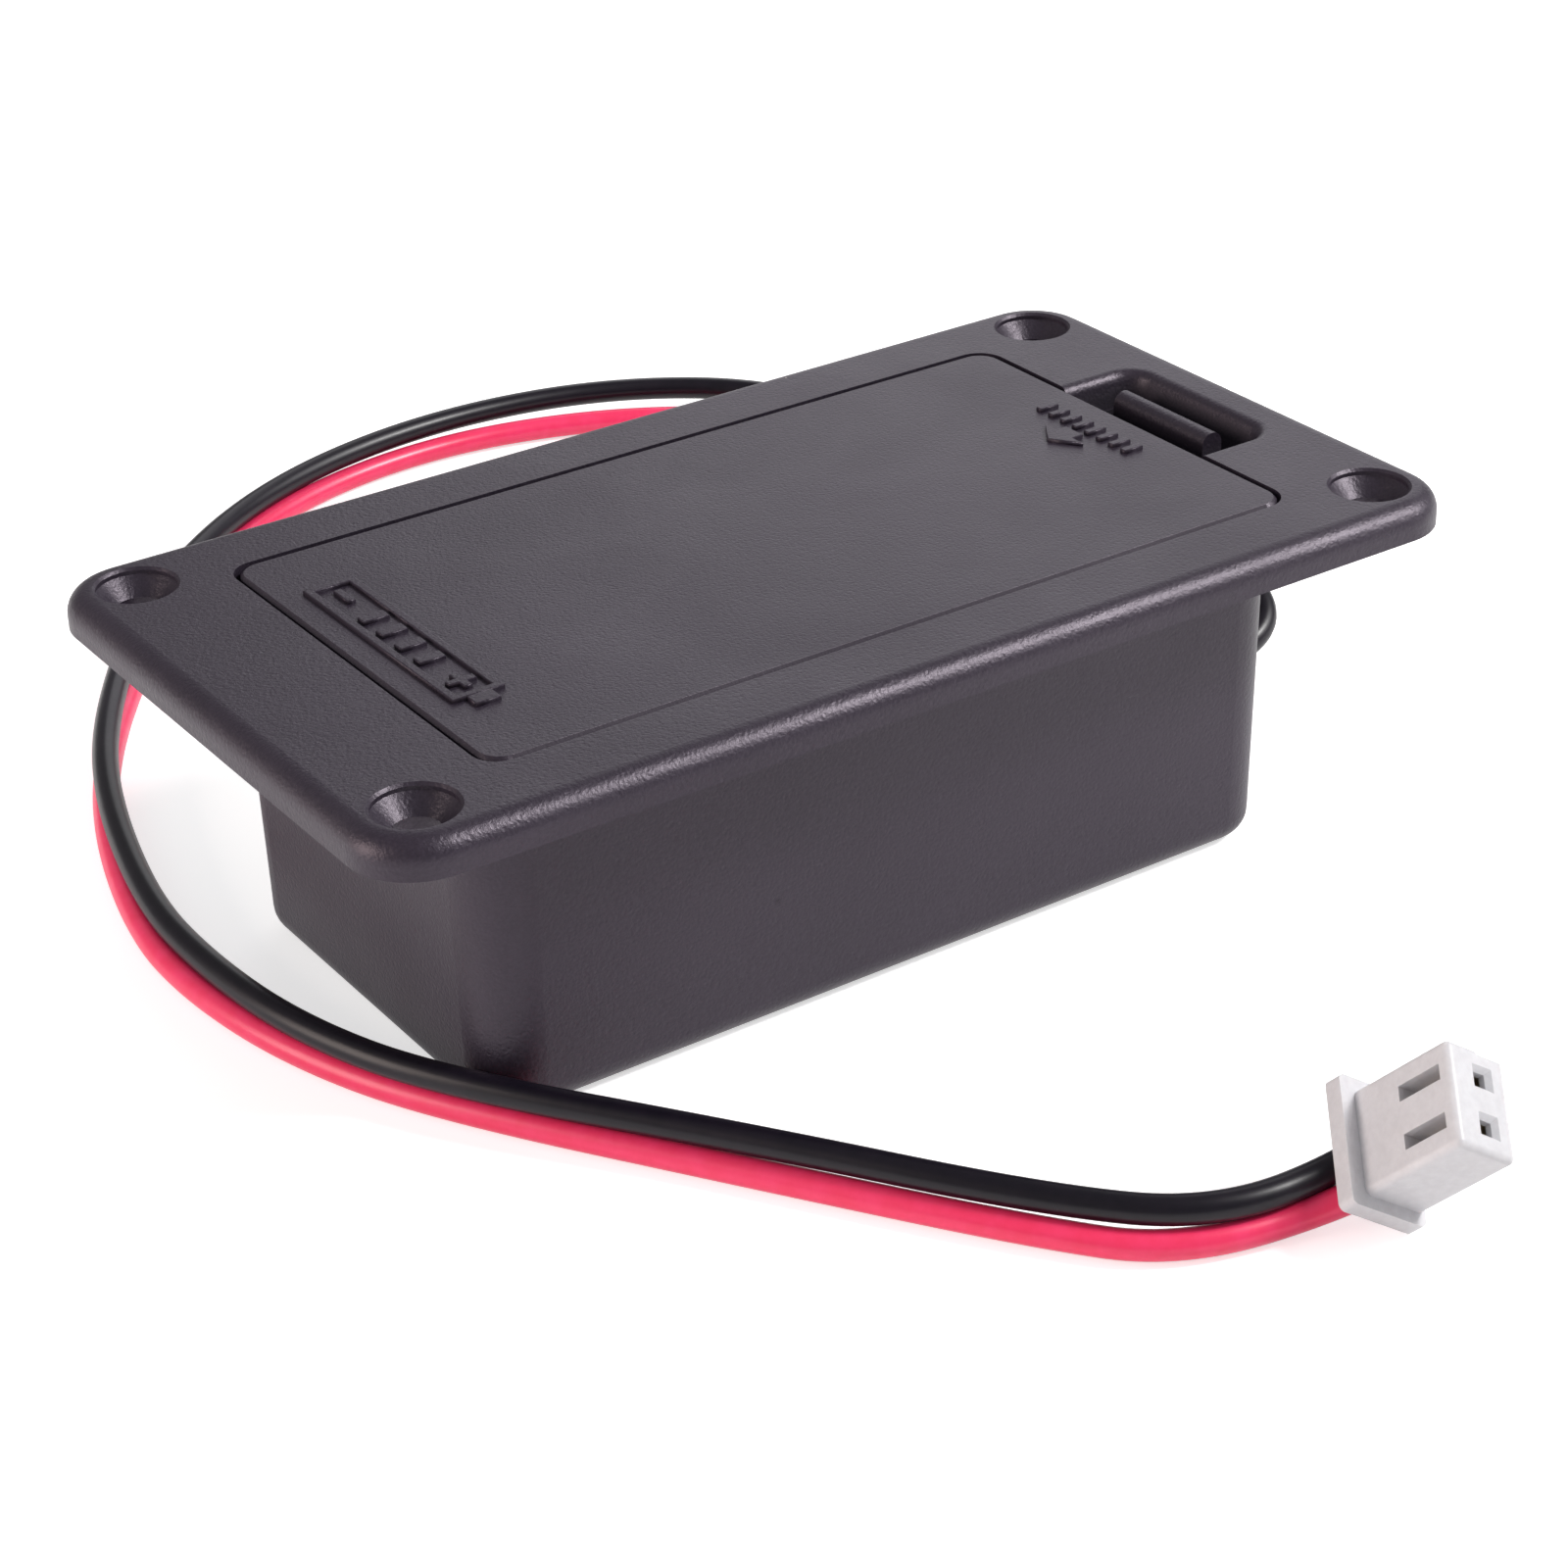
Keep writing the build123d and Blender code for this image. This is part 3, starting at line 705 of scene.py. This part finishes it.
# twisted strands where the insulation ends, solder run over them, and eyelets rolled over at both ends,
# in millimetres; the eyelet's profile is given by x and radius
terminals = {
    "poles": {"Positive": 6.35, "Negative": -6.35},
    "strands": {
        "count": 6,
        "radius": 0.165,
        "ring": 0.335,
        "startX": 36.2,
        "endX": 40.1,
        "z": 8.95,
        "pitch": 9.0,
        "steps": 26,
        "sides": 10,
    },
    "solder": {
        "x": 37.6,
        "z": 8.4,
        "halfLength": 1.3,
        "halfWidth": 1.0,
        "height": 1.24,
        "rings": 16,
        "around": 40,
        "domePower": 2.4,
        "skirtDepth": 0.22,
        "skirtReach": 1.6,
        "rough": 0.07,
        "roughScale": 1.7,
        "seeds": {"Positive": 1.3, "Negative": 5.0},
    },
    "eyelet": {
        "z": 10.95,
        "around": 56,
        "profile": [
            (31.35, 0.62), (31.12, 0.70), (30.98, 0.95), (30.96, 1.35), (31.02, 1.68),
            (31.14, 1.86), (31.28, 1.88), (31.3, 1.6), (31.3, 0.9), (34.7, 0.9),
            (34.7, 1.55), (34.72, 1.84), (34.84, 1.89), (34.97, 1.78), (35.04, 1.5),
            (35.04, 1.15), (34.98, 0.85), (34.8, 0.66), (34.5, 0.6), (31.6, 0.6),
        ],
    },
}


def addMesh(name, build, slot, replaced):
    shape = bmesh.new()
    build(shape)
    bmesh.ops.recalc_face_normals(shape, faces=shape.faces)
    for face in shape.faces:
        face.smooth = True
    mesh = bpy.data.meshes.new(name)
    shape.to_mesh(mesh)
    shape.free()
    mesh.materials.append(finishes[slot])
    piece = bpy.data.objects.new(name, mesh)
    scene.collection.objects.link(piece)
    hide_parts(replaced)
    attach(piece, "housing")


def joinRings(shape, rings, closed):
    count = len(rings[0])
    pairs = list(zip(rings, rings[1:])) + ([(rings[-1], rings[0])] if closed else [])
    for first, second in pairs:
        for i in range(count):
            j = (i + 1) % count
            shape.faces.new((first[i], first[j], second[j], second[i]))


def ringAround(shape, x, y, z, radius, sides):
    ring = []
    for side in range(sides):
        around = 2 * math.pi * side / sides
        place = (x, y + radius * math.cos(around), z + radius * math.sin(around))
        ring.append(shape.verts.new(Vector(place) * mm))
    return ring


def buildStrand(shape, y, offset, turn):
    values = terminals["strands"]
    rings = []
    for step in range(values["steps"] + 1):
        x = values["startX"] + (values["endX"] - values["startX"]) * step / values["steps"]
        angle = turn + 2 * math.pi * (x - values["startX"]) / values["pitch"]
        centreY, centreZ = y + offset * math.cos(angle), values["z"] + offset * math.sin(angle)
        rings.append(ringAround(shape, x, centreY, centreZ, values["radius"], values["sides"]))
    joinRings(shape, rings, False)
    shape.faces.new(rings[0])
    shape.faces.new(rings[-1])


def buildStrands(shape, y):
    values = terminals["strands"]
    buildStrand(shape, y, 0.0, 0.0)
    for index in range(values["count"]):
        buildStrand(shape, y, values["ring"], 2 * math.pi * index / values["count"])


# a drop that wets the lug at a shallow edge, rises to a dome over the strands and is never quite even
def buildSolder(shape, y, seed):
    values = terminals["solder"]
    rings = []
    for step in range(values["rings"]):
        out = 1 - step / values["rings"]
        height = 1 - out ** values["domePower"]
        hollow = math.sin(math.pi * min(1.0, (1 - out) * values["skirtReach"])) ** 2
        skirt = 1 - values["skirtDepth"] * hollow
        ring = []
        for side in range(values["around"]):
            around = 2 * math.pi * side / values["around"]
            direction = Vector((math.cos(around), math.sin(around), height * 2))
            place = direction * values["roughScale"] + Vector((seed, 0, 0))
            uneven = 1 + values["rough"] * noise.noise(place)
            x = values["x"] + values["halfLength"] * out * skirt * uneven * math.cos(around)
            across = y + values["halfWidth"] * out * skirt * uneven * math.sin(around)
            lumpy = 1 + values["rough"] * noise.noise(direction + Vector((0, seed, 0)))
            z = values["z"] + values["height"] * height * lumpy
            ring.append(shape.verts.new(Vector((x, across, z)) * mm))
        rings.append(ring)
    joinRings(shape, rings, False)
    shape.faces.new(rings[0])
    shape.faces.new(rings[-1])


def buildEyelet(shape, y):
    values = terminals["eyelet"]
    rings = []
    for x, radius in values["profile"]:
        rings.append(ringAround(shape, x, y, values["z"], radius, values["around"]))
    joinRings(shape, rings, True)


def addTerminals():
    for pole, y in terminals["poles"].items():
        low = pole.lower()
        seed = terminals["solder"]["seeds"][pole]
        addMesh(f"strands{pole}", lambda shape: buildStrands(shape, y), "conductor", f"conductor_end_{low}")
        addMesh(f"solder{pole}", lambda shape: buildSolder(shape, y, seed), "solder", f"solder_joint_{low}")
        addMesh(f"eyelet{pole}", lambda shape: buildEyelet(shape, y), "rivet_metal", f"rivet_{low}")


addTerminals()
print("terminals dressed")


# raised marks on the lid, in millimetres: an arrow beside a row of grip ribs at the latch end, and a
# battery sign at the hinge end
marks = {
    "rise": 0.3,
    "sink": 0.1,
    "bevel": 0.09,
    "bevelSteps": 2,
    "arrow": {"y": 0.6, "tipX": 26.3, "neckX": 27.9, "tailX": 28.9, "halfHead": 2.3, "halfShaft": 1.0},
    "ribs": {"x": 30.3, "y": 0.6, "length": 1.7, "width": 0.62, "pitch": 1.45, "count": 8},
    "battery": {
        "x": -29.3,
        "y": 0.9,
        "width": 4.0,
        "length": 21.0,
        "line": 0.62,
        "nub": 1.3,
        "nubWidth": 1.9,
    },
    "signs": {"size": 2.1, "line": 0.62, "fromEnd": 2.4},
    "bars": {"count": 4, "pitch": 2.6, "length": 2.0, "width": 1.0},
}


def rectangle(x, y, sizeX, sizeY):
    a, b = sizeX / 2, sizeY / 2
    return [(x - a, y - b), (x + a, y - b), (x + a, y + b), (x - a, y + b)]


def cross(x, y, size, line):
    s, t = size / 2, line / 2
    right = [(t, -s), (t, -t), (s, -t), (s, t), (t, t), (t, s)]
    left = [(-t, s), (-t, t), (-s, t), (-s, -t), (-t, -t), (-t, -s)]
    return [(x + dx, y + dy) for dx, dy in right + left]


def raiseMark(name, outlines):
    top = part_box("lid")[1][2]
    curve = bpy.data.curves.new(name, "CURVE")
    curve.dimensions = "2D"
    curve.fill_mode = "BOTH"
    for outline in outlines:
        spline = curve.splines.new("POLY")
        spline.points.add(len(outline) - 1)
        for target, (x, y) in zip(spline.points, outline):
            target.co = (x * mm, y * mm, 0.0, 1.0)
        spline.use_cyclic_u = True
    half = (marks["rise"] + marks["sink"]) / 2
    curve.extrude = (half - marks["bevel"]) * mm
    curve.bevel_depth = marks["bevel"] * mm
    curve.bevel_resolution = marks["bevelSteps"]
    curve.offset = -marks["bevel"] * mm
    mark = bpy.data.objects.new(name, curve)
    mark.location.z = top + (marks["rise"] - half) * mm
    scene.collection.objects.link(mark)
    curve.materials.append(finishes["lid_plastic"])
    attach(mark, "lid")


def addMarks():
    a = marks["arrow"]
    arrow = [
        (a["tipX"], a["y"]),
        (a["neckX"], a["y"] - a["halfHead"]),
        (a["neckX"], a["y"] - a["halfShaft"]),
        (a["tailX"], a["y"] - a["halfShaft"]),
        (a["tailX"], a["y"] + a["halfShaft"]),
        (a["neckX"], a["y"] + a["halfShaft"]),
        (a["neckX"], a["y"] + a["halfHead"]),
    ]
    raiseMark("openArrow", [arrow])
    r = marks["ribs"]
    firstY = r["y"] - (r["count"] - 1) * r["pitch"] / 2
    ribs = [rectangle(r["x"], firstY + i * r["pitch"], r["length"], r["width"]) for i in range(r["count"])]
    raiseMark("gripRibs", ribs)
    b = marks["battery"]
    outer = rectangle(b["x"], b["y"], b["width"], b["length"])
    inner = rectangle(b["x"], b["y"], b["width"] - 2 * b["line"], b["length"] - 2 * b["line"])
    raiseMark("batterySign", [outer, inner])
    nubY = b["y"] - (b["length"] + b["nub"]) / 2
    raiseMark("batteryNub", [rectangle(b["x"], nubY, b["nubWidth"], b["nub"])])
    s = marks["signs"]
    signY = b["length"] / 2 - s["fromEnd"]
    raiseMark("plusSign", [cross(b["x"], b["y"] - signY, s["size"], s["line"])])
    raiseMark("minusSign", [rectangle(b["x"], b["y"] + signY, s["line"], s["size"])])
    c = marks["bars"]
    firstY = b["y"] - (c["count"] - 1) * c["pitch"] / 2
    bars = [rectangle(b["x"], firstY + i * c["pitch"], c["length"], c["width"]) for i in range(c["count"])]
    raiseMark("batteryBars", bars)


addMarks()
print("marks raised")


# plain pale floor and soft lamps; the floor looks white to the camera and keeps the object's shadow
white = (1.0, 1.0, 1.0, 1.0)
studio = {
    "floorSize": 4.0,
    "floorDrop": 0.0001,
    "floorColour": (0.86, 0.86, 0.865),
    "floorRoughness": 0.9,
    "floorMirror": 0.1,
    "floorLift": 0.60,
    "floorMirrored": 0.44,
    "skyStrength": 0.42,
    "skyMirrored": 0.26,
    "softbox": {"toward": (0.66, -0.41, 0.63), "edge": (0.90, 0.985), "mirrored": 4.6},
    "lamps": {
        "keyLamp": {
            "toward": (0.58, -0.43, 0.69),
            "away": 0.80,
            "size": 0.16,
            "power": 4.8,
            "colour": (1.0, 0.985, 0.97),
        },
        "backLamp": {
            "toward": (0.62, 0.66, 0.42),
            "away": 0.95,
            "size": 0.60,
            "power": 1.25,
            "colour": (0.97, 0.96, 1.0),
        },
        "leftLamp": {
            "toward": (-0.92, 0.25, 0.30),
            "away": 0.70,
            "size": 0.40,
            "power": 3.0,
            "colour": (1.0, 0.86, 0.79),
        },
    },
}


# 1 for what the camera sees itself, in metal or through the plug, and 0 for the light that it gives
def pathSeen(tree):
    rays = addNode(tree, "ShaderNodeLightPath")
    mirrored = combine(tree, "MAXIMUM", rays.outputs["Is Glossy Ray"], rays.outputs["Is Transmission Ray"])
    return rays.outputs["Is Camera Ray"], mirrored


def addFloor():
    half = studio["floorSize"] / 2
    mesh = bpy.data.meshes.new("floor")
    corners = [(-half, -half, 0), (half, -half, 0), (half, half, 0), (-half, half, 0)]
    mesh.from_pydata(corners, [], [(0, 1, 2, 3)])
    floor = bpy.data.objects.new("floor", mesh)
    floor.location.z = -studio["floorDrop"]
    scene.collection.objects.link(floor)
    material, tree, shader = newMaterial("paleFloor")
    shader.inputs["Base Color"].default_value = (*studio["floorColour"], 1.0)
    shader.inputs["Roughness"].default_value = studio["floorRoughness"]
    shader.inputs["Specular IOR Level"].default_value = studio["floorMirror"]
    glow = addNode(tree, "ShaderNodeEmission", {"Color": white})
    seen, mirrored = pathSeen(tree)
    direct = combine(tree, "MULTIPLY", seen, studio["floorLift"])
    reflected = combine(tree, "MULTIPLY", mirrored, studio["floorMirrored"])
    tree.links.new(combine(tree, "MAXIMUM", direct, reflected), glow.inputs["Strength"])
    both = addNode(tree, "ShaderNodeAddShader")
    tree.links.new(shader.outputs["BSDF"], both.inputs[0])
    tree.links.new(glow.outputs["Emission"], both.inputs[1])
    tree.links.new(both.outputs["Shader"], tree.nodes["Material Output"].inputs["Surface"])
    mesh.materials.append(material)


# the sky is white to the camera, gives a plain light, and has one bright patch for reflections only
def addSky():
    world = bpy.data.worlds.new("paleSky")
    world.use_nodes = True
    scene.world = world
    tree = world.node_tree
    sky = tree.nodes["Background"]
    sky.inputs["Color"].default_value = white
    seen, mirrored = pathSeen(tree)
    plain = remap(tree, mirrored, 0.0, 1.0, studio["skyStrength"], studio["skyMirrored"])
    box = studio["softbox"]
    toward = tuple(Vector(box["toward"]).normalized())
    place = addNode(tree, "ShaderNodeTexCoord").outputs["Generated"]
    facing = addNode(tree, "ShaderNodeVectorMath", {0: place, 1: toward}, operation="DOT_PRODUCT")
    inBox = remap(tree, facing.outputs["Value"], *box["edge"], 0.0, box["mirrored"])
    strength = combine(tree, "ADD", plain, combine(tree, "MULTIPLY", inBox, mirrored))
    tree.links.new(combine(tree, "MAXIMUM", seen, strength), sky.inputs["Strength"])


def addLamps():
    for name, values in studio["lamps"].items():
        data = bpy.data.lights.new(name, "AREA")
        data.size = values["size"]
        data.energy = values["power"]
        data.color = values["colour"]
        lamp = bpy.data.objects.new(name, data)
        toward = Vector(values["toward"]).normalized()
        lamp.location = toward * values["away"]
        lamp.rotation_mode = "QUATERNION"
        lamp.rotation_quaternion = (-toward).to_track_quat("-Z", "Y")
        scene.collection.objects.link(lamp)


addFloor()
addSky()
addLamps()
print("studio lit")
